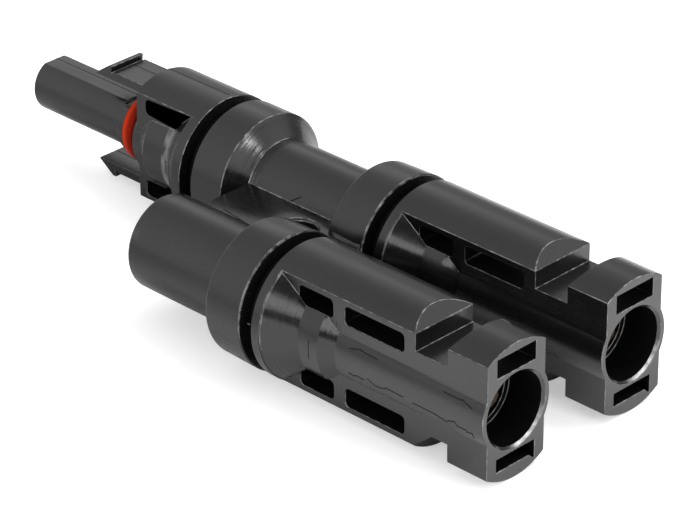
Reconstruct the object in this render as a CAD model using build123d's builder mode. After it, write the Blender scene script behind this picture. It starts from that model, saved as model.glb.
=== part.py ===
from build123d import *
import os
from math import cos, radians, sin, sqrt

# Solar branch connector: two sockets side by side, joined through a moulded body
# to one plug nose in line with the second socket.
# +X points to the sockets, +Y from the stub side to the nose side, +Z up.
# The origin is under the middle of the connector, on the surface it lies on.
# All sizes are millimetres.

# Layout
axis_spacing = 23.8
collar_r = 10.5
shell_drop = 0.1
waist_r = 7.25
spigot_r = 6.9
fit_gap = 0.04

# Lengths in order, from the socket faces to the tip of the nose
socket_len = 39.8
joint_gap = 2.3
collar_len = 7.1
waist_len = 19.2
cone_len = 2.4
nose_collar_len = 6.55
nose_gap = 2.25
plug_len = 14.0
nose_len = 25.6

# Body collars, stub and web
collar_taper = 0.2
collar_round = 0.6
collar_edge = 0.15
stub_round = 0.5
nose_collar_drop = 0.1
nose_collar_edge = 0.3
cone_step_len = 0.9
cone_step_drop = 1.45
web_half = 2.8
web_front_back = 0.9
tie_hole_r = 3.1
tie_hole_from_collar = 4.1
tie_hole_chamfer = 0.35

# Socket housing: rim, flat-sided shell, waist band and grip barrel
socket_flat = 5.7
rim_len = 1.6
cone_drop = 0.15
band_r = 7.7
band_rear = 33.5
band_front = 29.7
grip_front = 27.3
grip_r = 6.6

# Socket housing: latch block in front, arch behind it, and the saddles between them
front_block_len = 7.2
saddle_len = 5.85
saddle_z = 6.0
arch_bevel = 2.1
block_bevel = 0.9
slope_len = 3.0
slope_drop = 0.25
slot_half = 3.77
slot_floor = 6.25
slot_roof = 0.64
key_slot_depth = 2.0
key_width = 1.0
key_drop = 0.9

# Socket housing: side windows, measured from the socket face
window_rim = 0.85
window_height = 2.85
window_round = 0.7
long_window_front = 15.1
long_window_len = 11.1
short_window_front = 28.45
short_window_len = 6.45

# Socket housing: bores
bore_r = 5.45
bore_depth = 6.2
mouth_chamfer = 0.4
nose_clearance = 0.1
inner_bore_depth = 33.0
seat_wall = 3.0
spigot_len = 7.2

# Plug housing: sizes along X are measured from the plug face
plug_flat = 5.65
plug_rim_len = 1.6
face_disc_r = 6.3
face_disc_len = 0.7
face_cone_start = 1.1
plug_band_front = 3.2
plug_band_rear = 8.3
plug_cone_back = 0.4
upper_window_front = 2.1
upper_window_len = 6.9
upper_window_rim = 0.53
upper_window_height = 2.35
lower_window_front = 1.6
lower_window_len = 6.0
lower_window_rim = 0.63
lower_window_height = 2.6
notch_tip_x = 8.8
notch_tip_z = 5.3
notch_len = 2.3
notch_rise = 1.4
spike_x = 5.9
spike_z = 3.5
spike_width = 1.4

# Nose
nose_r = 4.4
nose_flat_z = 3.94
nose_edge = 0.35
sleeve_clearance = 0.07
nose_mouth_r = 2.35
nose_lip = 1.4
flange_r = 4.9
flange_rear = 4.1
flange_len = 1.5
flat_notch_z = 3.6
flat_notch_len = 0.75
plug_seat_depth = 4.0

# Latch arms on the plug
arm_half = 3.3
arm_in = 7.2
arm_thick = 1.4
arm_len = 11.7
arm_root_depth = 1.4
hook_rise = 0.8
hook_tip = 0.2
hook_ramp = 2.9
hook_flat = 0.7
hook_lean = 0.15
hook_groove = 0.3

# Pin contact and crimp barrels
pin_r = 2.0
pin_round = 0.25
pin_tip_depth = 4.6
shoulder_r = 2.5
contact_collar_r = 3.3
contact_collar_len = 1.6
chamber_clearance = 0.3
clip_len = 2.9
clip_slot_deg = 50
crimp_r = 2.9
crimp_len = 10.0
crimp_depth = 7.5
crimp_chamfer = 0.4
conductor_r = 1.85

# Socket contact in the nose, with its spring cage
pin_clearance = 0.05
contact_tip_back = 1.6
contact_lead_in = 0.3
sleeve_r = 2.95
sleeve_floor = 3.0
cage_front = 4.0
cage_len = 9.0
cage_wall = 0.3
cage_end_band = 1.2
cage_slot_width = 0.45
cage_slots = 10

# Bus bar and ferrules
bus_thick = 2.4
bus_half = 2.0
eye_r = 4.4
bus_from_waist_end = 8.0
ferrule_r = 3.1
ferrule_len = 3.0
conductor_past_bus = 2.0

# Seals
joint_seal_r = 8.6
joint_seal_round = 0.5
nose_seal_r = 5.6
nose_seal_len = 2.3
nose_seal_round = 0.75

# Radii and heights that follow from another piece
housing_r = collar_r - shell_drop
cone_r = housing_r - cone_drop
flat_top = sqrt(housing_r**2 - socket_flat**2)
plug_flat_top = sqrt(housing_r**2 - plug_flat**2)
slot_top = sqrt(housing_r**2 - slot_half**2) - slot_roof
window_mid = flat_top - window_rim - window_height / 2
inner_bore_r = nose_r + nose_clearance
chamber_r = contact_collar_r + chamber_clearance
nose_bore_r = sleeve_r + sleeve_clearance
contact_bore_r = pin_r + pin_clearance
cage_r = contact_bore_r + cage_wall
conductor_bore_r = conductor_r + fit_gap
crimp_pocket_r = crimp_r + fit_gap
spigot_pocket_r = spigot_r + fit_gap

# Stations along X, from the sockets to the nose
total_len = (socket_len + joint_gap + collar_len + waist_len + cone_len
             + nose_collar_len + nose_gap + plug_len + nose_len)
socket_face = total_len / 2
socket_rear = socket_face - socket_len
collar_front = socket_rear - joint_gap
collar_rear = collar_front - collar_len
waist_end = collar_rear - waist_len
nose_collar_front = waist_end - cone_len
nose_collar_rear = nose_collar_front - nose_collar_len
plug_rear = nose_collar_rear - nose_gap
plug_face = plug_rear - plug_len
nose_tip = plug_face - nose_len

# Stations of the contacts and conductors
pin_seat_front = socket_face - inner_bore_depth
pin_seat = pin_seat_front - seat_wall
pin_clip_front = pin_seat - contact_collar_len
pin_barrel_back = pin_clip_front - clip_len - crimp_len
socket_spigot_end = socket_rear - spigot_len
nose_seat = plug_face + plug_seat_depth
nose_clip_rear = nose_seat + contact_collar_len
nose_barrel_back = nose_clip_rear + clip_len + crimp_len
plug_spigot_end = plug_rear + spigot_len
bus_front = waist_end + bus_from_waist_end
bus_rear = bus_front - bus_thick
near_conductor_end = bus_rear - conductor_past_bus

near_y = -axis_spacing / 2
far_y = axis_spacing / 2
axis_z = collar_r
reach = 2 * collar_r


def across(x, y):
    """Plane square to an axis, at station x: local x is +Y, local y is +Z."""
    return Plane(origin=(x, y, axis_z), x_dir=(0, 1, 0), z_dir=(1, 0, 0))


def along(y):
    """Plane through an axis: local x is +X, local y is the height over the axis."""
    return Plane(origin=(0, y, axis_z), x_dir=(1, 0, 0), z_dir=(0, -1, 0))


def axis_line(y):
    return Axis((0, y, axis_z), (1, 0, 0))


def outline(points):
    """Close a half outline into a face of the current sketch."""
    with BuildLine() as edge:
        Polyline(*points, close=True)
    make_face(edge.edges())


def window(mid_x, mid_z, length, height):
    """A rounded window in a flat side, from its middle and its size."""
    with Locations((mid_x, mid_z)):
        RectangleRounded(length, height, min(window_round, 0.45 * height, 0.45 * length))


def turned(y, points):
    """A turned piece about the axis at y, from its half outline in X and radius."""
    with BuildPart() as piece:
        with BuildSketch(along(y)):
            outline(points)
        revolve(axis=axis_line(y))
    return piece.part


def socket_housing(y):
    """Round rim, flat-sided shell with windows and saddles, grip barrel, spigot and bores."""
    shell_rear = socket_rear + rim_len
    saddle_front = socket_face - front_block_len
    saddle_rear = saddle_front - saddle_len
    slope_end = saddle_rear + slope_len
    key_slot_top = -slot_floor - key_slot_depth
    with BuildPart() as housing:
        with BuildSketch(across(socket_rear, y)):
            Circle(housing_r)
        extrude(amount=rim_len)
        with BuildSketch(across(shell_rear, y)):
            Circle(housing_r)
            Rectangle(2 * socket_flat, 2 * reach, mode=Mode.INTERSECT)
        extrude(amount=socket_len - rim_len)
        with BuildSketch(along(y)):
            outline([(shell_rear, 0), (shell_rear, cone_r), (socket_face - band_rear, band_r),
                     (socket_face - band_front, band_r), (socket_face - grip_front, grip_r),
                     (socket_face, grip_r), (socket_face, 0)])
        revolve(axis=axis_line(y))
        with BuildSketch(along(y)):
            for side in (1, -1):
                window(socket_face - long_window_front - long_window_len / 2, side * window_mid,
                       long_window_len, window_height)
                window(socket_face - short_window_front - short_window_len / 2, side * window_mid,
                       short_window_len, window_height)
        extrude(amount=socket_flat, both=True, mode=Mode.SUBTRACT)
        with BuildSketch(along(y)):
            outline([(saddle_rear, saddle_z), (saddle_front, saddle_z), (saddle_front, flat_top),
                     (saddle_front + block_bevel, housing_r), (saddle_front + block_bevel, reach),
                     (saddle_rear - arch_bevel, reach), (saddle_rear - arch_bevel, housing_r),
                     (saddle_rear, flat_top)])
            outline([(saddle_rear, -reach), (saddle_rear, slope_drop - flat_top), (slope_end, -saddle_z),
                     (saddle_front, -saddle_z), (saddle_front, -reach)])
        extrude(amount=reach, both=True, mode=Mode.SUBTRACT)
        with BuildSketch(across(slope_end, y)):
            with Locations((0, (slot_floor + slot_top) / 2)):
                Rectangle(2 * slot_half, slot_top - slot_floor)
            outline([(-slot_half, -slot_floor), (-slot_half, key_slot_top),
                     (slot_half - key_width, key_slot_top), (slot_half, key_slot_top - key_drop),
                     (slot_half, -slot_floor)])
        extrude(amount=socket_face - slope_end, mode=Mode.SUBTRACT)
        with BuildSketch(across(socket_rear, y)):
            Circle(spigot_r)
        extrude(amount=-spigot_len)
        with BuildSketch(along(y)):
            outline([(socket_face, 0), (socket_face, bore_r + mouth_chamfer),
                     (socket_face - mouth_chamfer, bore_r), (socket_face - bore_depth, bore_r),
                     (socket_face - bore_depth, inner_bore_r), (pin_seat_front, inner_bore_r),
                     (pin_seat_front, shoulder_r + fit_gap), (pin_seat, shoulder_r + fit_gap),
                     (pin_seat, chamber_r), (socket_spigot_end, chamber_r), (socket_spigot_end, 0)])
        revolve(axis=axis_line(y), mode=Mode.SUBTRACT)
    return housing.part


def plug_housing(y):
    """Plug shell with its nose tube, seal seat and flange, spigot, and two latch arms."""
    rim_front = plug_rear - plug_rim_len
    flange_rear_x = plug_face - flange_rear
    flange_front_x = flange_rear_x - flange_len
    flat_notch_x = flange_front_x - flat_notch_len
    nose_lip_x = nose_tip + nose_lip
    arm_root = plug_face + arm_root_depth
    arm_tip = plug_face - arm_len
    arm_out = arm_in + arm_thick
    crest = arm_tip + hook_ramp
    hook_back = crest + hook_flat
    notch_x = plug_face + notch_tip_x
    window_end = plug_face + upper_window_front + upper_window_len
    spike_tip = plug_face + spike_x
    upper_window_low = plug_flat_top - upper_window_rim - upper_window_height
    lower_window_low = plug_flat_top - lower_window_rim - lower_window_height
    with BuildPart() as housing:
        with BuildSketch(across(rim_front, y)):
            Circle(housing_r)
        extrude(amount=plug_rim_len)
        with BuildSketch(across(plug_face, y)):
            Circle(housing_r)
            Rectangle(2 * plug_flat, 2 * reach, mode=Mode.INTERSECT)
        extrude(amount=plug_len - plug_rim_len)
        with BuildSketch(along(y)):
            outline([(plug_face - face_disc_len, 0), (plug_face - face_disc_len, face_disc_r),
                     (plug_face + face_cone_start, face_disc_r), (plug_face + plug_band_front, band_r),
                     (plug_face + plug_band_rear, band_r), (rim_front - plug_cone_back, cone_r),
                     (rim_front, cone_r), (rim_front, 0)])
        revolve(axis=axis_line(y))
        with BuildSketch(along(y)):
            window(plug_face + upper_window_front + upper_window_len / 2,
                   upper_window_low + upper_window_height / 2, upper_window_len, upper_window_height)
            window(plug_face + lower_window_front + lower_window_len / 2,
                   -lower_window_low - lower_window_height / 2, lower_window_len, lower_window_height)
            outline([(window_end - notch_len, upper_window_low), (notch_x, notch_tip_z),
                     (notch_x + notch_len, notch_tip_z + notch_rise),
                     (window_end, notch_tip_z + notch_rise)])
            outline([(spike_tip, -lower_window_low), (spike_tip, -spike_z),
                     (spike_tip + spike_width, -lower_window_low)])
        extrude(amount=plug_flat, both=True, mode=Mode.SUBTRACT)
        with BuildSketch(across(plug_rear, y)):
            Circle(spigot_r)
        extrude(amount=spigot_len)
        with BuildSketch(across(plug_face, y)):
            Circle(nose_r)
            Rectangle(2 * nose_r, 2 * nose_flat_z, mode=Mode.INTERSECT)
        extrude(amount=-nose_len)
        chamfer(housing.faces().sort_by(Axis.X)[0].edges(), nose_edge)
        with BuildSketch(across(flange_front_x, y)):
            Circle(flange_r)
        extrude(amount=flange_len)
        with BuildSketch(along(y)):
            for side in (1, -1):
                outline([(flat_notch_x, side * flat_notch_z), (flange_rear_x, side * flat_notch_z),
                         (flange_rear_x, side * flange_r), (flat_notch_x, side * flange_r)])
        extrude(amount=flange_r, both=True, mode=Mode.SUBTRACT)
        with BuildSketch(along(y)):
            for side in (1, -1):
                outline([(arm_root, side * arm_in), (arm_tip, side * arm_in),
                         (arm_tip, side * (arm_in + hook_tip)), (crest, side * (arm_out + hook_rise)),
                         (hook_back, side * (arm_out + hook_rise)),
                         (hook_back - hook_lean, side * (arm_out - hook_groove)),
                         (hook_back + hook_lean, side * (arm_out - hook_groove)),
                         (hook_back + 2 * hook_lean, side * arm_out), (arm_root, side * arm_out)])
        extrude(amount=arm_half, both=True)
        with BuildSketch(along(y)):
            outline([(nose_tip, 0), (nose_tip, nose_mouth_r + nose_edge),
                     (nose_tip + nose_edge, nose_mouth_r), (nose_lip_x, nose_mouth_r),
                     (nose_lip_x, nose_bore_r), (nose_seat, nose_bore_r), (nose_seat, chamber_r),
                     (plug_spigot_end, chamber_r), (plug_spigot_end, 0)])
        revolve(axis=axis_line(y), mode=Mode.SUBTRACT)
    return housing.part


def pin_contact(y):
    """Turned pin contact: pin, shoulder, seat collar and a crimp barrel."""
    tip = socket_face - pin_tip_depth
    barrel_front = pin_clip_front - clip_len
    shoulder_front = pin_seat_front - fit_gap
    crimp_floor = pin_barrel_back + crimp_depth
    return turned(y, [
        (tip, 0), (tip, pin_r - 2 * pin_round), (tip - pin_round / 2, pin_r - pin_round / 2),
        (tip - 2 * pin_round, pin_r), (shoulder_front, pin_r), (shoulder_front, shoulder_r),
        (pin_seat - fit_gap, shoulder_r), (pin_seat - fit_gap, contact_collar_r),
        (pin_clip_front, contact_collar_r), (pin_clip_front, shoulder_r), (barrel_front, shoulder_r),
        (barrel_front - crimp_chamfer, crimp_r), (pin_barrel_back, crimp_r),
        (pin_barrel_back, conductor_bore_r), (crimp_floor, conductor_bore_r), (crimp_floor, 0)])


def socket_contact(y):
    """Turned socket contact in the nose: sleeve, cage recess, collar, crimp barrel."""
    tip = nose_tip + contact_tip_back
    barrel_front = nose_clip_rear + clip_len
    recess_front = nose_tip + cage_front
    recess_back = recess_front + cage_len
    sleeve_end = nose_seat - sleeve_floor
    crimp_floor = nose_barrel_back - crimp_depth
    return turned(y, [
        (tip, contact_bore_r + contact_lead_in), (tip + contact_lead_in, contact_bore_r),
        (recess_front, contact_bore_r), (recess_front, cage_r), (recess_back, cage_r),
        (recess_back, contact_bore_r), (sleeve_end, contact_bore_r), (sleeve_end, 0),
        (crimp_floor, 0), (crimp_floor, conductor_bore_r), (nose_barrel_back, conductor_bore_r),
        (nose_barrel_back, crimp_r), (barrel_front + crimp_chamfer, crimp_r), (barrel_front, shoulder_r),
        (nose_clip_rear, shoulder_r), (nose_clip_rear, contact_collar_r),
        (nose_seat + fit_gap, contact_collar_r), (nose_seat + fit_gap, sleeve_r), (tip, sleeve_r)])


def contact_cage(y):
    """Slotted spring cage that grips the mating pin, inside the socket contact."""
    front = nose_tip + cage_front + fit_gap
    length = cage_len - 2 * fit_gap
    with BuildPart() as cage:
        with BuildSketch(across(front, y)):
            Circle(cage_r - fit_gap)
            Circle(contact_bore_r, mode=Mode.SUBTRACT)
        extrude(amount=length)
        with BuildSketch(across(front + cage_end_band, y)):
            with PolarLocations(cage_r, cage_slots):
                Rectangle(4 * cage_wall, cage_slot_width)
        extrude(amount=length - 2 * cage_end_band, mode=Mode.SUBTRACT)
    return cage.part


def contact_clip(y, start):
    """Split spring ring that holds a contact in its chamber."""
    half = radians(clip_slot_deg / 2)
    far = 2 * chamber_r
    with BuildPart() as clip:
        with BuildSketch(across(start + fit_gap, y)):
            Circle(chamber_r - fit_gap)
            Circle(shoulder_r + fit_gap, mode=Mode.SUBTRACT)
            with BuildLine():
                Polyline((0, 0), (far * sin(half), -far * cos(half)), (-far * sin(half), -far * cos(half)),
                         close=True)
            make_face(mode=Mode.SUBTRACT)
        extrude(amount=clip_len - 2 * fit_gap)
    return clip.part


def ring_seal(y, rear, length, inner, outer, rounding):
    """A moulded rubber ring with rounded outer corners."""
    with BuildPart() as ring:
        with BuildSketch(along(y)) as profile:
            with Locations((rear + length / 2, (inner + outer) / 2)):
                Rectangle(length, outer - inner)
            corner = min(rounding, 0.45 * length, 0.9 * (outer - inner))
            fillet(profile.vertices().group_by(Axis.Y)[-1], corner)
        revolve(axis=axis_line(y))
    return ring.part


def conductor(y, start, end):
    """Round copper conductor between two stations."""
    with BuildPart() as rod:
        with BuildSketch(across(start, y)):
            Circle(conductor_r)
        extrude(amount=end - start)
    return rod.part


def ferrule(y):
    """Copper sleeve pressed on a conductor against the bus bar."""
    with BuildPart() as sleeve:
        with BuildSketch(across(bus_front + fit_gap, y)):
            Circle(ferrule_r)
            Circle(conductor_bore_r, mode=Mode.SUBTRACT)
        extrude(amount=ferrule_len)
    return sleeve.part


# Bus bar that crosses the web between the two conductors
with BuildPart() as bus_bar:
    with BuildSketch(across(bus_rear, 0)):
        Rectangle(axis_spacing, 2 * bus_half)
        with Locations((near_y, 0), (far_y, 0)):
            Circle(eye_r)
            Circle(conductor_bore_r, mode=Mode.SUBTRACT)
    extrude(amount=bus_thick)

# Moulded body: two socket collars, stub and neck, web, and the nose collar
with BuildPart() as branch_body:
    for y in (near_y, far_y):
        with BuildSketch(across(waist_end, y)):
            Circle(waist_r)
        extrude(amount=waist_len)
        if y == near_y:
            fillet(branch_body.faces().sort_by(Axis.X)[0].edges(), stub_round)
        with BuildSketch(along(y)) as collar:
            outline([(collar_rear, 0), (collar_rear, collar_r - collar_taper), (collar_front, collar_r),
                     (collar_front, 0)])
            fillet(collar.vertices().group_by(Axis.X)[0].sort_by(Axis.Y)[-1], collar_round)
            chamfer(collar.vertices().group_by(Axis.X)[-1].sort_by(Axis.Y)[-1], collar_edge)
        revolve(axis=axis_line(y))
    with BuildSketch(along(far_y)):
        nose_collar_r = collar_r - nose_collar_drop
        outline([(waist_end + stub_round, 0), (waist_end + stub_round, waist_r), (waist_end, waist_r),
                 (nose_collar_front + cone_step_len, collar_r - cone_step_drop),
                 (nose_collar_front, nose_collar_r), (nose_collar_rear + nose_collar_edge, nose_collar_r),
                 (nose_collar_rear, nose_collar_r - nose_collar_edge), (nose_collar_rear, 0)])
    revolve(axis=axis_line(far_y))
    with BuildSketch(Plane.XY.offset(axis_z - web_half)):
        with Locations(((waist_end + collar_front - web_front_back) / 2, 0)):
            Rectangle(collar_front - web_front_back - waist_end, axis_spacing)
    extrude(amount=2 * web_half)
    with BuildSketch(Plane.XZ):
        hole_x = collar_rear - tie_hole_from_collar
        top = axis_z + web_half
        bottom = axis_z - web_half
        wide_r = tie_hole_r + tie_hole_chamfer
        outline([(hole_x, bottom), (hole_x + wide_r, bottom),
                 (hole_x + tie_hole_r, bottom + tie_hole_chamfer),
                 (hole_x + tie_hole_r, top - tie_hole_chamfer), (hole_x + wide_r, top), (hole_x, top)])
    revolve(axis=Axis((hole_x, 0, 0), (0, 0, 1)), mode=Mode.SUBTRACT)
    for y in (near_y, far_y):
        with BuildSketch(along(y)):
            pocket_end = min(pin_barrel_back, socket_spigot_end) - 2 * fit_gap
            outline([(collar_front, 0), (collar_front, spigot_pocket_r),
                     (socket_spigot_end - fit_gap, spigot_pocket_r),
                     (socket_spigot_end - fit_gap, crimp_pocket_r),
                     (pocket_end, crimp_pocket_r), (pocket_end, 0)])
        revolve(axis=axis_line(y), mode=Mode.SUBTRACT)
    with BuildSketch(along(far_y)):
        pocket_end = max(nose_barrel_back, plug_spigot_end) + 2 * fit_gap
        outline([(nose_collar_rear, 0), (nose_collar_rear, spigot_pocket_r),
                 (plug_spigot_end + fit_gap, spigot_pocket_r), (plug_spigot_end + fit_gap, crimp_pocket_r),
                 (pocket_end, crimp_pocket_r), (pocket_end, 0)])
    revolve(axis=axis_line(far_y), mode=Mode.SUBTRACT)
    for y, start in ((near_y, near_conductor_end - fit_gap), (far_y, nose_collar_rear)):
        with BuildSketch(across(start, y)):
            Circle(conductor_bore_r)
        extrude(amount=pin_barrel_back - start, mode=Mode.SUBTRACT)
    with BuildSketch(across(bus_rear - fit_gap, 0)):
        Rectangle(axis_spacing, 2 * (bus_half + fit_gap))
        with Locations((near_y, 0), (far_y, 0)):
            Circle(eye_r + fit_gap)
    extrude(amount=bus_thick + 2 * fit_gap, mode=Mode.SUBTRACT)
    with BuildSketch(across(bus_front, 0)):
        with Locations((near_y, 0), (far_y, 0)):
            Circle(ferrule_r + fit_gap)
    extrude(amount=ferrule_len + 2 * fit_gap, mode=Mode.SUBTRACT)


def save(part, label):
    part.label = label
    export_step(part, os.path.join("parts", label + ".step"))
    print(label, round(part.volume, 1), "mm3")


os.makedirs("parts", exist_ok=True)
save(branch_body.part, "branch_body")
save(bus_bar.part, "bus_bar")

crimp_floor = pin_barrel_back + crimp_depth - fit_gap
conductor_starts = {"near": near_conductor_end, "far": nose_barrel_back - crimp_depth + fit_gap}
for side, y in (("near", near_y), ("far", far_y)):
    save(socket_housing(y), side + "_socket_housing")
    save(pin_contact(y), side + "_pin_contact")
    save(contact_clip(y, pin_clip_front - clip_len), side + "_contact_clip")
    save(ring_seal(y, collar_front, joint_gap, spigot_r + fit_gap, joint_seal_r, joint_seal_round),
         side + "_joint_seal")
    save(conductor(y, conductor_starts[side], crimp_floor), side + "_conductor")
    save(ferrule(y), side + "_ferrule")

save(plug_housing(far_y), "nose_housing")
save(socket_contact(far_y), "nose_socket_contact")
save(contact_cage(far_y), "nose_contact_cage")
save(contact_clip(far_y, nose_clip_rear), "nose_contact_clip")
save(ring_seal(far_y, plug_rear, nose_gap, spigot_r + fit_gap, joint_seal_r, joint_seal_round),
     "nose_joint_seal")
save(ring_seal(far_y, plug_face - flange_rear + fit_gap, nose_seal_len, nose_r + fit_gap, nose_seal_r,
               nose_seal_round), "nose_seal_ring")
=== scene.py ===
# %% [markdown]
# # A solar branch connector
# Two solar leads plug into the sockets on the right, and one lead leaves at the nose on the left.
# The packed model gives every shell, seal and contact at its real size, in metres.
# This script loads it as a fixed frame and then works on looks: edges that catch the light,
# moulded plastic with fine grain, rubber, tinned contacts, and a soft studio round it.

# %% Load the frame
from math import cos, hypot, pi, radians, sin

import bmesh
import bpy
from mathutils import Matrix, Vector
from mathutils.bvhtree import BVHTree


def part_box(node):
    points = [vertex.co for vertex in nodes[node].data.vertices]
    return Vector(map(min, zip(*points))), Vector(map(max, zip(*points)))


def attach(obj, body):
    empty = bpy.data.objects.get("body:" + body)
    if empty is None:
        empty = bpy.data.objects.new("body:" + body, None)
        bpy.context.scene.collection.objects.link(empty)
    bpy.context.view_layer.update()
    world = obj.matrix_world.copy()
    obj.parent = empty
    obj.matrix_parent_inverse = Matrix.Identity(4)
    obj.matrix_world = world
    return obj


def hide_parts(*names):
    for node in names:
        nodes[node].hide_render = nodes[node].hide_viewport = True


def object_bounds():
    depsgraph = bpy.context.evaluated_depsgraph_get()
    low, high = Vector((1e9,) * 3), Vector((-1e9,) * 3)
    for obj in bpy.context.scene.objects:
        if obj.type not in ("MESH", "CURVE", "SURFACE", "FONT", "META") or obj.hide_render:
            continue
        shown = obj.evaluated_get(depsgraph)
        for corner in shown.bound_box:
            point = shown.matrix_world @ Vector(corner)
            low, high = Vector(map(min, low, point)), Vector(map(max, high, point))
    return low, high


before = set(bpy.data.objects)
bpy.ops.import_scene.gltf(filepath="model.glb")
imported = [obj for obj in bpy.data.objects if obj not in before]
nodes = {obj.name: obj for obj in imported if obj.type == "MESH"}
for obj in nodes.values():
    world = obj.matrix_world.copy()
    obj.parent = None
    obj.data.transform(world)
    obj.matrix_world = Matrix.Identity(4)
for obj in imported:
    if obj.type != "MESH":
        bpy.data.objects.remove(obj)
cad_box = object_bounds()
scene = bpy.context.scene
MM = 0.001
print("nodes:", len(nodes), "box:", [[round(v / MM, 1) for v in corner] for corner in cad_box])

# %% [markdown]
# Nearly everything on this connector is turned about one of two long axes, so the axes come first.
# They could be typed in, but reading them from the middle of each shell's box means that they
# still fit after the model changes.

# %% The two axes and the stations along them


def middle(node):
    low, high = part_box(node)
    return (low + high) / 2


near_axis = middle("near_socket_housing")
far_axis = middle("far_socket_housing")
socket_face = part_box("near_socket_housing")[1].x
plug_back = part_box("nose_housing")[1].x
neck_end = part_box("nose_joint_seal")[1].x
floor_z = cad_box[0][2]
print("axes at y", round(near_axis.y / MM, 2), "and", round(far_axis.y / MM, 2),
      "height", round(near_axis.z / MM, 2))

# %% [markdown]
# The camera stands where the photographer stood: to the right of the sockets, well above them,
# with a long lens that keeps the two barrels almost parallel. It is placed by two angles and a
# distance from a point between the barrels, which is easier to adjust than three coordinates.

# %% Camera
look_at = Vector((15.62, 1.47, 10.35)) * MM
camera_distance = 518 * MM
camera_azimuth = radians(44.677)
camera_elevation = radians(28.77)
camera_roll = -0.0072
lens_mm = 187.34
sensor_mm = 36
near_clip = 0.01

camera_data = bpy.data.cameras.new("camera")
camera_data.lens = lens_mm
camera_data.sensor_width = sensor_mm
camera_data.clip_start = near_clip
camera = bpy.data.objects.new("camera", camera_data)
scene.collection.objects.link(camera)
turn = (Matrix.Rotation(camera_azimuth, 4, "Z") @ Matrix.Rotation(pi / 2 - camera_elevation, 4, "X")
        @ Matrix.Rotation(camera_roll, 4, "Z"))
towards_camera = (Matrix.Rotation(camera_azimuth, 4, "Z")
                  @ Vector((0, -cos(camera_elevation), sin(camera_elevation))))
camera.matrix_world = Matrix.Translation(look_at + towards_camera * camera_distance) @ turn
scene.camera = camera
print("camera at", [round(v, 3) for v in camera.location])

# %% [markdown]
# Materials are built from shader nodes. Writing every link by hand is long and hard to read, so a
# small class wraps an output socket: adding or multiplying two of them makes the Math node for it.
# Three shapes come back again and again, and get a method each: a ramp that rises from 0 to 1, a
# band that is 1 between two values, and a noise spread out round one of its levels.

# %% A socket that can be used in sums


class Wire:
    """One output socket of a shader node."""

    def __init__(self, finish, socket):
        self.finish = finish
        self.socket = socket

    def math(self, operation, *inputs):
        settings = {"operation": operation}
        return self.finish.node("ShaderNodeMath", settings, dict(enumerate((self,) + inputs)))

    def clamp(self):
        return self.finish.node("ShaderNodeClamp", {}, {"Value": self})

    def ramp(self, start, length):
        """0 up to start, then rising to 1 over a length."""
        return ((self - start) / length).clamp()

    def band(self, low, high, soft):
        """1 between low and high, 0 outside, with edges that are soft wide."""
        fall = ((high - self) / soft).clamp()
        return self.ramp(low, soft) * fall

    def spread(self, level, gain):
        """Values counted from a level and made stronger, which sharpens a soft noise."""
        return (self - level) * gain

    def __add__(self, other):
        return self.math("ADD", other)

    def __sub__(self, other):
        return self.math("SUBTRACT", other)

    def __mul__(self, other):
        return self.math("MULTIPLY", other)

    def __truediv__(self, other):
        return self.math("DIVIDE", other)

    def __rsub__(self, other):
        return (self * -1) + other

    __radd__ = __add__
    __rmul__ = __mul__


print("wire methods:", [name for name in vars(Wire) if not name.startswith("_")])

# %% [markdown]
# A second class holds the tree that the wires run in. Its one method for nodes takes a node's
# type, its settings and its inputs, and it starts with the coordinates of the place that is being
# shaded. The connector's materials and the world round it both grow from this class.

# %% A tree of shader nodes


class NodeTree:
    """A node tree under construction; x, y and z are the place it is shaded at."""

    def __init__(self, owner, place):
        owner.use_nodes = True
        self.tree = owner.node_tree
        self.place = self.node("ShaderNodeTexCoord", {}, {}, place)
        self.x, self.y, self.z = (self.split(self.place, axis) for axis in "XYZ")

    def node(self, kind, settings, inputs, output=0):
        made = self.tree.nodes.new(kind)
        for name, value in settings.items():
            setattr(made, name, value)
        for name, value in inputs.items():
            self.feed(made.inputs[name], value)
        return Wire(self, made.outputs[output])

    def feed(self, socket, value):
        if isinstance(value, Wire):
            self.tree.links.new(value.socket, socket)
        else:
            socket.default_value = value

    def split(self, vector, axis):
        return self.node("ShaderNodeSeparateXYZ", {}, {0: vector}, axis)

    def join(self, x, y, z):
        return self.node("ShaderNodeCombineXYZ", {}, {"X": x, "Y": y, "Z": z})

    def noise(self, vector, size, detail=2.0):
        """Soft random values from 0 to 1, with spots of about this size."""
        inputs = {"Vector": vector, "Scale": 1 / size, "Detail": detail}
        return self.node("ShaderNodeTexNoise", {}, inputs)

    def mix(self, share, first, second):
        return self.node("ShaderNodeMix", {"data_type": "RGBA"}, {0: share, 6: first, 7: second}, 2)

    def bump(self, height, depth):
        return self.node("ShaderNodeBump", {}, {"Height": height, "Distance": depth})


print("tree helpers:", [name for name in vars(NodeTree) if not name.startswith("_")])

# %% [markdown]
# Each material is one Principled shader. What changes over the surface is linked, and what is the
# same everywhere is written on the shader's own sockets. Greys are given as they look on screen,
# from 0 to 255, because that is how they are read off a picture; the renderer wants them linear.

# %% A material and its greys


class Finish(NodeTree):
    """A material, with its Principled shader at hand."""

    def __init__(self, name):
        self.material = bpy.data.materials.new(name)
        super().__init__(self.material, "Object")
        self.shader = self.tree.nodes["Principled BSDF"]

    def set(self, **values):
        """Feeds sockets by name: Base_Color is the socket Base Color."""
        for name, value in values.items():
            self.feed(self.shader.inputs[name.replace("_", " ")], value)
        return self.material


def grey(level):
    share = level / 255
    linear = share / 12.92 if share <= 0.04045 else ((share + 0.055) / 1.055) ** 2.4
    return (linear, linear, linear, 1.0)


print("grey 128 is", round(grey(128)[0], 3), "in linear light")

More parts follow.
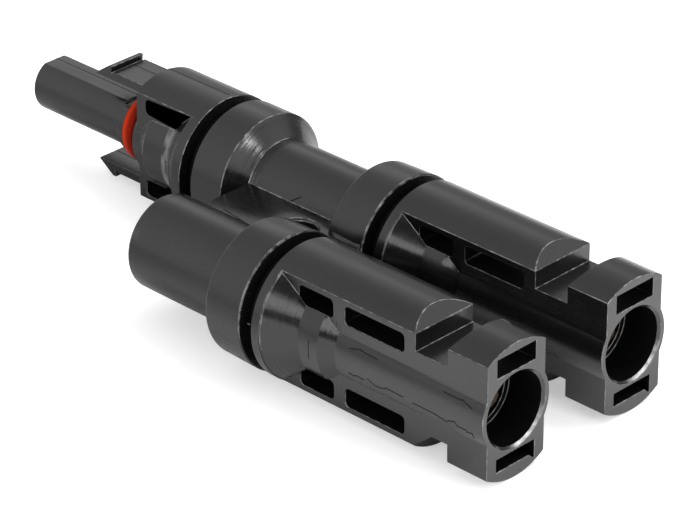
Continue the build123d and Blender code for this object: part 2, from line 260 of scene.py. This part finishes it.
# %% [markdown]
# The shells and the body are black glass-filled nylon. Nearly all the light that comes off such a
# plastic is a reflection, so its own colour is close to black and its roughness does the work.
# One roughness all over would look too even to be real. Noise at three sizes gives slow changes
# of gloss, flow marks drawn out along the part, and fine grain.
# The cones were turned on a lathe in the mould, so fine rings run round them and they shine more.
# On the shells they lie between two slabs, above and below, and reach only so far from the axis.

# %% Moulded plastic
grain_size = 0.16 * MM
flow_size = 0.9 * MM
flow_squeeze = 0.12
cloud_size = 14 * MM
ring_pitch = 0.20 * MM
ring_squeeze = 0.03
streak_size = 0.9 * MM
streak_squeeze = 0.35
streak_highlight_grey = 110
relief_depth = 0.012 * MM
relief_of = {"grain": 0.35, "flow": 0.45, "rings": 6.0}
gloss_change = {"cloud": 0.18, "flow": 0.12, "rings": 0.10}
shade_change = 0.15
cone_soft = 0.1 * MM
slab_height = 7.6 * MM
slab_soft = 0.4 * MM
waist_low, waist_high, waist_soft = -6.5 * MM, 6.0 * MM, 1.0 * MM


def moulded_plastic(name, shade, gloss, cones, reach, painted_streaks=0.0):
    """Black nylon, with lathe rings where x lies in a cone and z within reach of the axis."""
    finish = Finish(name)
    x, y, z = finish.x, finish.y, finish.z
    cloud = finish.noise(finish.place, cloud_size, 3.0)
    flow = finish.noise(finish.join(x * flow_squeeze, y, z), flow_size, 3.0)
    grain = finish.noise(finish.place, grain_size, 2.0)
    bands = [x.band(low, high, cone_soft) for low, high in cones]
    turned = sum(bands[1:], bands[0]).clamp() * z.band(far_axis.z - reach, far_axis.z + reach, slab_soft)
    rings = finish.noise(finish.join(x, y * ring_squeeze, z * ring_squeeze), ring_pitch, 3.0)
    height = (grain * relief_of["grain"] + flow * relief_of["flow"]
              + (rings - 0.5) * turned * relief_of["rings"])
    rough = (cloud - 0.5) * gloss_change["cloud"] + (flow - 0.5) * gloss_change["flow"] + gloss
    colour = finish.mix(cloud.spread(0.35, 2.0),
                        grey(shade * (1 - shade_change)), grey(shade * (1 + shade_change)))
    # Painted highlight: pale streaks over the turned cones, within the waist, stand in for the jagged band of
    # light they reflect.
    if painted_streaks:
        along_ring = finish.join(x, y * streak_squeeze, z * streak_squeeze)
        streak_glints = finish.noise(along_ring, streak_size, 4.0).spread(0.38, 4.0).clamp()
        waist = z.band(far_axis.z + waist_low, far_axis.z + waist_high, waist_soft)
        colour = finish.mix(streak_glints * turned * waist * painted_streaks, colour, grey(streak_highlight_grey))
    return finish.set(Base_Color=colour, Roughness=(rough - turned * gloss_change["rings"]).clamp(),
                      Normal=finish.bump(height, relief_depth))


print("grain", grain_size / MM, "mm, flow", flow_size / MM, "mm, clouds", cloud_size / MM, "mm")

# %% [markdown]
# The same plastic is used three times: for the socket shells, for the plug, whose turned waist
# carries pale streaks of painted highlight, and for the body, whose cone goes all round. Both socket
# shells have the same stations along X, so one material serves both.

# %% Shells, plug and body
socket_cones = [(socket_face - 38.6 * MM, socket_face - 33.2 * MM),
                (socket_face - 29.9 * MM, socket_face - 26.8 * MM)]
plug_cones = [(plug_back - 14.0 * MM, plug_back - 11.6 * MM),
              (plug_back - 6.6 * MM, plug_back - 2.2 * MM)]
neck_cone = [(neck_end + 6.2 * MM, neck_end + 10.5 * MM)]
body_radius = 11 * MM

shell_plastic = moulded_plastic("shell_plastic", shade=13, gloss=0.25, cones=socket_cones, reach=slab_height)
nose_plastic = moulded_plastic("nose_plastic", shade=15, gloss=0.27, cones=plug_cones, reach=slab_height,
                               painted_streaks=1.0)
body_plastic = moulded_plastic("body_plastic", shade=13, gloss=0.27, cones=neck_cone, reach=body_radius)
print("plastics:", [m.name for m in (shell_plastic, nose_plastic, body_plastic)])

# %% [markdown]
# Three small finishes of the same plastic. A painted highlight goes on some edges, pale in noisy
# patches. Painted shade gives the dull dark of a fine groove or a parting line. Painted shade also goes
# on the walls deep in a window or a bore, where a low specular level keeps them dull black where light does
# get in.

# %% Painted edge highlights, shadow lines and pocket shade
highlight_spot_size = 1.1 * MM
pocket_spot = 1.5 * MM

# Painted highlight: a pale colour, in patches, for roundings that face the light.
highlighted = Finish("painted_edge_highlight")
highlighted.shader.inputs["Specular IOR Level"].default_value = 0.9
highlight_patches = highlighted.noise(highlighted.place, highlight_spot_size, 3.0).spread(0.42, 3.0)
highlighted.set(Base_Color=highlighted.mix(highlight_patches, grey(20), grey(130)), Roughness=0.3)

shade_line = Finish("shadow_line")
shade_line.shader.inputs["Specular IOR Level"].default_value = 0.08
shade_line.set(Base_Color=grey(22), Roughness=0.6)

# Painted shade: near-black and dull, for walls deep in windows, slots and bores.
pocket_shade = Finish("pocket_shade")
pocket_shade.shader.inputs["Specular IOR Level"].default_value = 0.12
pocket_noise = pocket_shade.noise(pocket_shade.place, pocket_spot)
pocket_shade.set(Base_Color=pocket_shade.mix(pocket_noise, grey(4), grey(10)), Roughness=0.5)
print("small finishes:", [f.material.name for f in (highlighted, shade_line, pocket_shade)])

# %% [markdown]
# The orange-red ring at the root of the nose is silicone, and the black rings are synthetic rubber.
# Rubber has a broad dull sheen, so it is rough, with a low specular level and a bump of soft
# clouds and pores rather than sharp grain. Light passes a little way into silicone and makes its
# round paler in the middle: a second colour over that part of the ring stands in for it.

# %% Rubber
bloom_size = 1.2 * MM
pore_size = 0.12 * MM
rubber_depth = 0.01 * MM
crown_soft = 0.5 * MM


def rubber(name, colour, pale, rough, sheen, crown=None):
    """Soft rubber; crown is the x range over which the pale colour shows on a ring's round."""
    finish = Finish(name)
    bloom = finish.noise(finish.place, bloom_size, 3.0)
    pores = finish.noise(finish.place, pore_size, 1.0)
    finish.shader.inputs["Specular IOR Level"].default_value = sheen
    share = bloom.spread(0.4, 1.5)
    if crown:
        share = finish.x.band(crown[0], crown[1], crown_soft) + share * 0.3
    return finish.set(Base_Color=finish.mix(share.clamp(), colour, pale),
                      Roughness=(bloom - 0.5) * 0.2 + rough,
                      Normal=finish.bump(pores * 0.5 + bloom * 0.5, rubber_depth))


deep_orange = (0.17, 0.006, 0.0003, 1)
pale_orange = (0.40, 0.021, 0.0007, 1)
ring_low, ring_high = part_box("nose_seal_ring")
ring_crown = (ring_low.x - 0.1 * MM, ring_high.x - 0.9 * MM)
seal_rubber = rubber("orange_seal_rubber", deep_orange, pale_orange, rough=0.45, sheen=0.04, crown=ring_crown)
joint_rubber = rubber("black_seal_rubber", grey(8), grey(12), rough=0.6, sheen=0.06)
print("rubbers:", seal_rubber.name, joint_rubber.name)

# %% [markdown]
# The contacts are turned from copper alloy and tinned, so they are greyish with a warm cast, and
# turning leaves rings round them: a noise that changes along X alone gives those. The conductors
# and the bus bar are bare copper, the clips and the cage spring steel. Tarnish, a second and
# darker colour in soft spots, keeps the metal from looking new and even.

# %% Metals
tarnish_size = 2.5 * MM
turning_depth = 0.006 * MM


def metal(name, colour, second, rough, pitch):
    finish = Finish(name)
    rings = finish.noise(finish.join(finish.x, 0.0, 0.0), pitch)
    tarnish = finish.noise(finish.place, tarnish_size, 3.0)
    return finish.set(Base_Color=finish.mix(tarnish.spread(0.35, 1.8), colour, second), Metallic=1.0,
                      Roughness=(tarnish - 0.5) * 0.2 + (rings - 0.5) * 0.15 + rough,
                      Normal=finish.bump(rings, turning_depth))


# Painted shade: the tinned colour is set far darker than bright tin, for the shade deep in the bores round
# the pins.
tinned = metal("tinned_contact", colour=(0.20, 0.145, 0.10, 1), second=(0.10, 0.068, 0.045, 1),
               rough=0.24, pitch=0.12 * MM)
copper = metal("bare_copper", colour=(0.72, 0.33, 0.20, 1), second=(0.55, 0.22, 0.12, 1),
               rough=0.32, pitch=0.2 * MM)
spring_steel = metal("spring_steel", colour=(0.60, 0.60, 0.62, 1), second=(0.46, 0.46, 0.48, 1),
                     rough=0.28, pitch=0.3 * MM)
print("metals:", tinned.name, copper.name, spring_steel.name)

# %% [markdown]
# A moulded edge is never perfectly sharp: a radius of about a tenth of a millimetre catches the
# light and draws the thin bright lines that make small plastic parts look real. A Bevel modifier
# could do it, but it can't skip single edges or tell which new faces look up, so the bmesh
# operator does it. Its clamp is off, because the tightest spot would shrink every rounding.
# Edges of 31 degrees or less are left alone: they are the facets of round barrels, and the
# shallow lines where a cone meets a band. On the body, an edge whose neighbour is very short is
# skipped too, because the bevel would fold over there.

# %% Rounding the corners
edge_radius = 0.11 * MM
bevel_segments = 2
bevel_angle = radians(31)
crease_angle = radians(15)


def room_beside(edge):
    """The shortest edge next to this one: a bevel needs more than its own radius there."""
    return min(min(loop.link_loop_next.edge.calc_length(), loop.link_loop_prev.edge.calc_length())
               for loop in edge.link_loops)


def round_corners(shape, room):
    """Bevels the sharp edges; gives how many there were, and the faces that were made."""
    corners = [edge for edge in shape.edges
               if len(edge.link_faces) == 2 and edge.calc_face_angle(0) > bevel_angle
               and room_beside(edge) > room]
    made = bmesh.ops.bevel(shape, geom=corners, offset=edge_radius, offset_type="OFFSET",
                           segments=bevel_segments, profile=0.5, affect="EDGES", clamp_overlap=False,
                           material=-1)
    shape.normal_update()
    return len(corners), made["faces"]


def shade_smooth(shape, rounds):
    """Smooth everywhere, but for creases that no rounding softens."""
    rounds = set(rounds)
    for face in shape.faces:
        face.smooth = True
    for edge in shape.edges:
        if edge.calc_face_angle(0) > crease_angle and not rounds.intersection(edge.link_faces):
            edge.smooth = False


print("corners over", round(bevel_angle / radians(1)), "degrees get", edge_radius / MM, "mm")

# %% [markdown]
# Three finishes share each shell. Roundings that look up and towards the sockets, the way the light
# comes from, get the painted highlight. Walls that look straight at another wall close by are the
# insides of windows and slots: a ray from each face finds them, and they get painted shade. The walls
# of the bore are known by their distance from the axis, and get painted shade too. All the rest is plain
# plastic.

# %% Sharing out the finishes
# Roundings that face this way, towards the light, get the painted highlight.
lit_way = Vector((0.62, -0.50, 0.60)).normalized()
lit_limit = 0.72
pocket_depth = 4.5 * MM
ray_start = 0.01 * MM
bore_wall_r = 5.6 * MM
steep_limit = 0.3
plastic_index, highlight_index, pocket_shade_index = 0, 1, 2


def pocket_faces(shape):
    """Faces that look at another wall close by: the inside of windows, slots and grooves."""
    walls = BVHTree.FromBMesh(shape)
    return [face for face in shape.faces
            if walls.ray_cast(face.calc_center_median() + face.normal * ray_start,
                              face.normal, pocket_depth)[0] is not None]


def bore_faces(shape, axis):
    """The long walls of a socket's bore."""
    found = []
    for face in shape.faces:
        place = face.calc_center_median()
        if abs(face.normal.x) < steep_limit and hypot(place.y - axis.y, place.z - axis.z) < bore_wall_r:
            found.append(face)
    return found


def share_finishes(shape, rounds, axis, pockets):
    """Sets each face's material; gives how many roundings get the painted highlight."""
    highlight_faces = [face for face in rounds if face.normal.dot(lit_way) > lit_limit]
    for face in shape.faces:
        face.material_index = plastic_index
    for face in highlight_faces:
        face.material_index = highlight_index
    if pockets:
        for face in pocket_faces(shape) + bore_faces(shape, axis):
            face.material_index = pocket_shade_index
    return len(highlight_faces)


print("pockets are up to", pocket_depth / MM, "mm across, bores up to", bore_wall_r / MM, "mm in radius")

# %% [markdown]
# The packed nodes have sharp edges and must stay as they are, so each shell is replaced by a copy.
# A node's mesh is loose triangles: they are merged first, and flat regions are joined, so that
# only true corners are left to bevel. Weighted normals then keep the large faces flat beside
# their thin roundings. The painted pocket shade is only given to the socket shells, which have deep windows.

# %% Rounded copies of the shells
merge_distance = 0.002 * MM
flat_angle = radians(0.4)
body_room = 0.18 * MM


def new_piece(name, mesh):
    """Puts a finished mesh in the scene as a piece of the one rigid body."""
    piece = bpy.data.objects.new(name, mesh)
    scene.collection.objects.link(piece)
    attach(piece, "root")
    return piece


def rounded_copy(node, name, plastic, room=0.0, pockets=False):
    mesh = nodes[node].data.copy()
    mesh.name = name
    mesh.materials.clear()
    for material in (plastic, highlighted.material, pocket_shade.material):
        mesh.materials.append(material)
    shape = bmesh.new()
    shape.from_mesh(mesh)
    bmesh.ops.remove_doubles(shape, verts=shape.verts, dist=merge_distance)
    bmesh.ops.dissolve_limit(shape, angle_limit=flat_angle, verts=shape.verts, edges=shape.edges)
    corner_count, rounds = round_corners(shape, room)
    shade_smooth(shape, rounds)
    highlight_count = share_finishes(shape, rounds, middle(node), pockets)
    open_edges = sum(1 for edge in shape.edges if len(edge.link_faces) != 2)
    shape.to_mesh(mesh)
    shape.free()
    piece = new_piece(name, mesh)
    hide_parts(node)
    piece.modifiers.new("weigh_normals", "WEIGHTED_NORMAL").keep_sharp = True
    print(name, "rounded", corner_count, "edges, rubbed", highlight_count, "faces, open edges", open_edges)


rounded_copy("near_socket_housing", "near_socket_shell", shell_plastic, pockets=True)
rounded_copy("far_socket_housing", "far_socket_shell", shell_plastic, pockets=True)
rounded_copy("nose_housing", "nose_shell", nose_plastic)
rounded_copy("branch_body", "moulded_body", body_plastic, room=body_room)

# %% [markdown]
# Fine lines come next: marks pressed in the grip, the parting lines of the mould, and the shade
# in the corners of the web. A texture could draw them, but would need its own mapping on
# every round face, and cutting real grooves would break up the clean faces of the shells.
# Instead, each line is a row of thin boxes that stand a few hundredths of a millimetre out
# of the surface. Most are dark: painted shade, the shadow that would sit in a groove, which looks
# like a groove from any distance. Two helpers give the points and
# the surface's direction there, one for a barrel and one for a level face.

# %% Tools for fine lines
strip_height = 0.05 * MM
strip_overlap = 0.6
faces_per_box = 6


def lines_piece(name, material, rows):
    """Makes rows of boxes; a row is its points, each with its normal, and a width in mm."""
    shape = bmesh.new()
    for points, width in rows:
        for (a, up), (b, _) in zip(points, points[1:]):
            along = (b - a).normalized()
            across = up.cross(along).normalized()
            upright = along.cross(across)
            frame_of = Matrix((along, across, upright)).transposed().to_4x4()
            length = (b - a).length + width * MM * strip_overlap
            size = Matrix.Diagonal((length, width * MM, strip_height, 1))
            bmesh.ops.create_cube(shape, size=1, matrix=Matrix.Translation((a + b) / 2) @ frame_of @ size)
    mesh = bpy.data.meshes.new(name)
    shape.to_mesh(mesh)
    shape.free()
    mesh.materials.append(material)
    new_piece(name, mesh)
    print(name, len(mesh.polygons) // faces_per_box, "strips")


def on_barrel(axis, radius, points):
    """Points (x, height above the axis) in mm, laid on a barrel's near side."""
    laid = []
    for x, height in points:
        up = Vector((0, -(radius ** 2 - height ** 2) ** 0.5, height)).normalized()
        laid.append((Vector((x * MM, axis.y, axis.z)) + up * radius * MM, up))
    return laid


def on_level(height, points):
    """Points (x, y) in mm on a level face at a height over the floor."""
    return [(Vector((x, y, height)) * MM, Vector((0, 0, 1))) for x, y in points]


print("strips stand", strip_height / 2 / MM, "mm out of the surface")

# %% [markdown]
# The near barrel has two rows of scribed strokes along its grip, and one upright stroke on the
# round band behind it. They are drawn in painted shade, dark where the strokes' shadows show.
# Each is a little crooked, as marks cut by hand in the mould are, so each
# is written as a few points with its own width.

# %% Marks on the grip
grip_r = 6.6
band_r = 7.7
band_stroke = [(28.3, 1.2), (28.3, 0.2), (28.3, -0.8), (28.2, -1.6)]
grip_strokes = [
    ([(34.9, 2.05), (36.8, 2.6), (37.0, 2.45), (40.0, 2.35)], 0.16),
    ([(52.2, 2.35), (55.3, 2.35), (55.5, 2.5), (57.4, 1.95)], 0.16),
    ([(34.8, -1.75), (35.7, -1.9), (36.2, -1.6), (37.6, -1.7)], 0.16),
    ([(38.4, -1.2), (39.7, -1.8), (41.4, -1.55), (41.8, -1.2), (45.0, -1.3)], 0.15),
    ([(46.8, -1.5), (50.8, -1.55), (52.9, -1.9), (53.4, -1.5), (54.5, -1.2)], 0.16),
    ([(54.5, -1.2), (54.9, -1.75), (56.4, -1.7), (56.6, -1.95), (57.6, -1.8), (57.6, -2.6)], 0.16),
]
grip_marks = [(on_barrel(near_axis, grip_r, points), width) for points, width in grip_strokes]
grip_marks.append((on_barrel(near_axis, band_r, band_stroke), 0.13))
lines_piece("grip_marks", shade_line.material, grip_marks)

# %% [markdown]
# The mould of the plug opened up and down, and its halves left a fine line along the top of the
# nose, of both latch arms and of the shell. The lines are drawn in painted shade, dark for the
# shadow in them. The level of each face is counted from the axis.

# %% Parting lines of the plug
axis_z = near_axis.z / MM
far_y = far_axis.y / MM
nose_top = axis_z + 3.94
arm_top = axis_z + 8.6
low_arm_top = axis_z - 7.2
shell_r = (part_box("nose_housing")[1].z - far_axis.z) / MM
shell_line_y = 1.1
shell_line_z = axis_z + (shell_r ** 2 - shell_line_y ** 2) ** 0.5
parting = [
    (on_level(nose_top, [(-59.3, far_y + 0.45), (-50.0, far_y + 0.45), (-35.5, far_y + 0.45)]), 0.08),
    (on_level(arm_top, [(-41.6, far_y + 0.75), (-34.6, far_y + 0.75)]), 0.09),
    (on_level(shell_line_z, [(x, far_y + shell_line_y) for x in (-34.0, -27.0, -20.8)]), 0.10),
    (on_level(low_arm_top, [(-45.3, far_y), (-35.0, far_y)]), 0.09),
]
lines_piece("nose_parting_lines", shade_line.material, parting)

# %% [markdown]
# Where the flat web meets the round neck and stub, shade gathers in the corner, so a few
# dark strips of painted shade lie there. A pale speck shows in the dark gap of the near joint, a nub of
# moulding flash catching the light: one short strip in the painted highlight finish, held in the gap
# above the seal ring, stands for it.

# %% Painted shade at the web and the bright speck of flash
web_top = axis_z + 2.8
neck_r = 7.3
speck_r = 9.6
web_shade_rows = [
    (on_level(web_top, [(-2.8, 5.35), (-0.6, 5.55), (2.0, 5.1)]), 0.22),
    (on_level(web_top, [(2.9, 4.95), (5.2, 4.95), (7.4, 4.9)]), 0.45),
    (on_level(web_top, [(-5.6, -3.0), (-2.4, -3.45), (0.7, -3.9)]), 0.16),
    (on_barrel(far_axis, neck_r, [(-0.1, 3.0), (0.7, 3.5), (1.4, 4.0)]), 0.12),
]
lines_piece("web_corner_shade", shade_line.material, web_shade_rows)
speck_row = [(on_barrel(near_axis, speck_r, [(18.4, 0.8), (18.8, 0.83)]), 0.14)]
lines_piece("gate_nib", highlighted.material, speck_row)

# %% [markdown]
# The mouth of each socket has a chamfer that every plug rubs over. Its lower part, on the side
# away from the camera, shows as a bright crescent of light, drawn as a painted highlight. The colour
# changes with height and with y, and a noise breaks it up.

# %% Painted highlight on the mouths
highlight_patch_size = 1.1 * MM
low_start, low_fade = 1.2 * MM, 3.5 * MM
far_start, far_fade = 1.0 * MM, 2.0 * MM


def lip_highlight(axis, name):
    """Painted highlight: pale where the lip is low and on its far side, where the bright crescent falls."""
    lip = Finish(name)
    low_side = (lip.z * -1 + axis.z - low_start) / low_fade
    far_side = (lip.y - axis.y + far_start) / far_fade
    patchy = lip.noise(lip.place, highlight_patch_size, 3.0).spread(0.15, 2.0)
    highlight_share = low_side.clamp() * far_side.clamp() * patchy.clamp()
    return lip.set(Base_Color=lip.mix(highlight_share, grey(14), grey(205)), Roughness=0.22)


near_lip_finish = lip_highlight(near_axis, "near_lip_highlight")
far_lip_finish = lip_highlight(far_axis, "far_lip_highlight")
print("lip finishes:", near_lip_finish.name, far_lip_finish.name)

# %% [markdown]
# The lip itself is a very thin ring that lies on the chamfer and carries the painted highlight. A lathe
# would turn it, and so does the script: four points make a narrow section, and the spin operator
# carries it round the axis. The last copy is merged with the first, so that the ring is closed.

# %% Lips of the mouths
mouth_r = 5.45
lip_rise = 0.02
inner_end = (-0.37, 0.03)
outer_end = (-0.05, 0.35)
lip_section = [(*inner_end, lip_rise), (*outer_end, lip_rise),
               (*outer_end, -lip_rise), (*inner_end, -lip_rise)]
lip_steps = 96


def mouth_lip(axis, name, material):
    """Spins the section; its points are x from the face, r past the bore, and rise, in mm."""
    shape = bmesh.new()
    corners = [shape.verts.new((socket_face + (x + rise) * MM, axis.y, axis.z + (mouth_r + r - rise) * MM))
               for x, r, rise in lip_section]
    loop = [shape.edges.new((corners[i - 1], corners[i])) for i in range(len(corners))]
    bmesh.ops.spin(shape, geom=corners + loop, cent=(0, axis.y, axis.z), axis=(1, 0, 0),
                   angle=2 * pi, steps=lip_steps, use_merge=True)
    bmesh.ops.recalc_face_normals(shape, faces=shape.faces)
    open_edges = sum(1 for edge in shape.edges if len(edge.link_faces) != 2)
    mesh = bpy.data.meshes.new(name)
    shape.to_mesh(mesh)
    shape.free()
    mesh.materials.append(material)
    new_piece(name, mesh)
    print(name, len(mesh.polygons), "faces, open edges", open_edges)


mouth_lip(near_axis, "near_mouth_lip", near_lip_finish)
mouth_lip(far_axis, "far_mouth_lip", far_lip_finish)

# %% [markdown]
# The seals, contacts, clips and conductors are small, and most are hidden inside the moulding. Their
# packed meshes are fine as they are, so they only get a finish: one material each, by name.

# %% Finishes of the nodes that keep their own mesh
finish_of = {
    "near_joint_seal": joint_rubber, "far_joint_seal": joint_rubber, "nose_joint_seal": joint_rubber,
    "nose_seal_ring": seal_rubber,
    "near_pin_contact": tinned, "far_pin_contact": tinned, "nose_socket_contact": tinned,
    "nose_contact_cage": spring_steel, "near_contact_clip": spring_steel, "far_contact_clip": spring_steel,
    "nose_contact_clip": spring_steel,
    "near_conductor": copper, "far_conductor": copper, "bus_bar": copper,
    "near_ferrule": copper, "far_ferrule": copper,
}
for name, material in finish_of.items():
    mesh = nodes[name].data
    mesh.materials.clear()
    mesh.materials.append(material)
print("finished nodes:", len(finish_of))

# %% [markdown]
# The connector lies on a sheet of white paper, three metres wide, so that its edge never shows.
# It is part of the stage and not of the connector.

# %% Floor
floor_size = 3.0
floor_shape = bmesh.new()
bmesh.ops.create_grid(floor_shape, x_segments=1, y_segments=1, size=floor_size / 2)
bmesh.ops.translate(floor_shape, verts=floor_shape.verts, vec=(0, 0, floor_z))
floor_mesh = bpy.data.meshes.new("floor")
floor_shape.to_mesh(floor_mesh)
floor_shape.free()
floor = bpy.data.objects.new("floor", floor_mesh)
scene.collection.objects.link(floor)
print("floor at", round(floor_z / MM, 2), "mm")

# %% [markdown]
# Black plastic shows its surroundings more than its own colour, and half of what it shows is the
# paper. A little light of its own lifts the paper to white for the camera and leaves the soft
# shadow. Reflections see the paper as the photographer lit it: darker beyond the nose, where the
# lit part of the table ends, and brighter beside the near barrel and ahead of the sockets.

# %% Paper of the floor
floor_lift = 0.42
mirror_lift = 0.47
near_grey, end_grey = 230, 188
lit_from, lit_fade = -30 * MM, 45 * MM
far_from, far_rise = 5 * MM, 10 * MM

paper = Finish("pale_floor")
direct = paper.node("ShaderNodeLightPath", {}, {}, "Is Camera Ray")
mirrored = paper.node("ShaderNodeLightPath", {}, {}, "Is Glossy Ray")
lit = ((paper.x - lit_from) / lit_fade + paper.y.ramp(far_from, far_rise)).clamp()
beside_barrel = (paper.y * -1).ramp(16 * MM, 7 * MM) * paper.x.ramp(4 * MM, 20 * MM)
below_sockets = paper.x.ramp(46 * MM, 8 * MM) * 1.3
past_sockets = paper.x.ramp(62 * MM, 8 * MM) * 1.1
bright = beside_barrel.math("MAXIMUM", below_sockets + past_sockets)
paper.set(Base_Color=paper.mix(mirrored * (1.0 - lit), grey(near_grey), grey(end_grey)),
          Roughness=0.9, Emission_Color=grey(255),
          Emission_Strength=direct * floor_lift + mirrored * bright * mirror_lift)
floor_mesh.materials.append(paper.material)
print("paper lifted by", floor_lift, "for the camera,", mirror_lift, "in reflections")

# %% [markdown]
# Round the table stands a white tent, with a dark opening where the camera looks in. It could be
# built of lit cloth, but a world that is brighter in some directions gives the same reflections
# without a single mesh. Directions are an azimuth, turned from the front towards the right, and
# an elevation. The tent is one level with soft round patches added or taken away, and one window
# behind the camera, a hand high, which draws the light band on the cones.

# %% The tent
tent_level = 0.74
patches = [
    # azimuth, elevation, full inside, gone outside, change
    (138, 48, 8, 40, 0.85),
    (80, 20, 8, 32, 1.30),
    (315, 15, 20, 60, 0.50),
    (190, -3, 24, 44, -0.42),
    (229, 26, 4, 12, 0.52),
    (20, 30, 30, 42, -0.55),
]
window_low, window_high, window_soft = 0.24, 0.60, 0.03
window_patch = (10, 22, 20, 40)
window_level = 3.4


def way(azimuth, elevation):
    a, e = radians(azimuth), radians(elevation)
    return Vector((sin(a) * cos(e), -cos(a) * cos(e), sin(e)))


def share_of(tree, azimuth, elevation, inner, outer):
    """1 within inner degrees of a direction, 0 beyond outer degrees."""
    aim = way(azimuth, elevation)
    facing = tree.x * aim.x + tree.y * aim.y + tree.z * aim.z
    return facing.ramp(cos(radians(outer)), cos(radians(inner)) - cos(radians(outer)))


world = bpy.data.worlds.new("studio")
scene.world = world
tent = NodeTree(world, "Generated")
level = tent_level
for azimuth, elevation, inner, outer, change in patches:
    level = share_of(tent, azimuth, elevation, inner, outer) * change + level
window = tent.z.band(window_low, window_high, window_soft) * share_of(tent, *window_patch)
background = world.node_tree.nodes["Background"]
background.inputs["Color"].default_value = grey(255)
tent.feed(background.inputs["Strength"], level + window * window_level)
print("tent patches:", len(patches), "and one window")

# %% [markdown]
# Three lamps finish the light. Two narrow strips, at the right and behind, are there for their
# reflections: they draw the bright lines along the roundings. The third stands high and gives the
# connector its shadow on the paper. It would also lay a broad shine over the barrels that the real
# ones don't have, so it is hidden from glossy rays.

# %% Lamps for the edges and the shadow
lamp_distance = 0.8
strip_level = 14
key_level = 16


def softbox(name, azimuth, elevation, width, height, brightness):
    """A soft lamp; brightness is its own level, with white at 1."""
    data = bpy.data.lights.new(name, "AREA")
    data.shape = "RECTANGLE"
    data.size = width
    data.size_y = height
    data.energy = brightness * pi * width * height
    lamp = bpy.data.objects.new(name, data)
    scene.collection.objects.link(lamp)
    aim = way(azimuth, elevation)
    lamp.matrix_world = (Matrix.Translation(look_at + aim * lamp_distance)
                         @ aim.to_track_quat("Z", "Y").to_matrix().to_4x4())
    return lamp


softbox("right_strip", azimuth=97, elevation=26, width=0.10, height=0.30, brightness=strip_level)
softbox("back_strip", azimuth=178, elevation=48, width=0.20, height=0.06, brightness=strip_level)
key = softbox("key", azimuth=150, elevation=64, width=0.28, height=0.28, brightness=key_level)
key.visible_glossy = False
scene.view_settings.view_transform = "Standard"

# %% [markdown]
